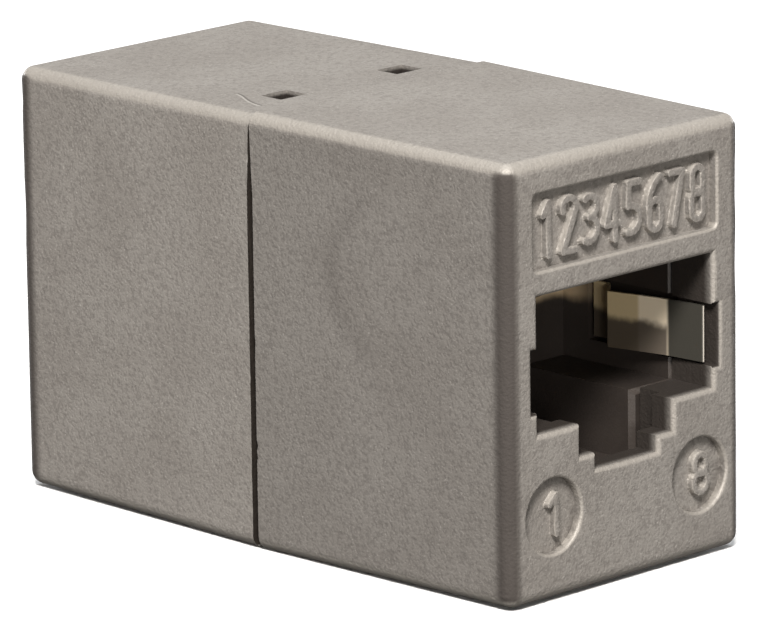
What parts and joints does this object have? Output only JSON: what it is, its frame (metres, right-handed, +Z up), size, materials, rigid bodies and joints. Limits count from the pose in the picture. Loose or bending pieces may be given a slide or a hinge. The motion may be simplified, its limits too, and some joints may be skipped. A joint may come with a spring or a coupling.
{
  "type": "rj45 inline coupler",
  "caption": "Shielded female-to-female coupler that joins two RJ45 patch cables end to end, in a two-part die-cast metal body.",
  "frame": {"origin": "under the middle of the body, on its lowest edge", "axes": "+Y from the front port to the rear port, +Z up with the latch sides of both ports down, +X across"},
  "size_m": [0.0164, 0.0338, 0.0215],
  "materials": {
    "die_cast_nickel": "satin nickel on die-cast zinc, fine sandy grain",
    "insert_plastic": "matt",
    "carrier_plastic": "matt",
    "spring_bronze": "tin-plated bronze, satin",
    "gilt_wire": "gold-plated, bright",
    "board_laminate": "solder mask"
  },
  "bodies": {
    "root": {"front_shell": "die_cast_nickel", "rear_shell": "die_cast_nickel", "circuit_board": "board_laminate", "front_jack_insert": "insert_plastic", "front_contact_carrier": "carrier_plastic", "front_left_side_spring": "spring_bronze", "front_right_side_spring": "spring_bronze", "front_contact_1": "gilt_wire", "front_contact_2": "gilt_wire", "front_contact_3": "gilt_wire", "front_contact_4": "gilt_wire", "front_contact_5": "gilt_wire", "front_contact_6": "gilt_wire", "front_contact_7": "gilt_wire", "front_contact_8": "gilt_wire", "rear_jack_insert": "insert_plastic", "rear_contact_carrier": "carrier_plastic", "rear_left_side_spring": "spring_bronze", "rear_right_side_spring": "spring_bronze", "rear_contact_1": "gilt_wire", "rear_contact_2": "gilt_wire", "rear_contact_3": "gilt_wire", "rear_contact_4": "gilt_wire", "rear_contact_5": "gilt_wire", "rear_contact_6": "gilt_wire", "rear_contact_7": "gilt_wire", "rear_contact_8": "gilt_wire"}
  },
  "joints": []
}
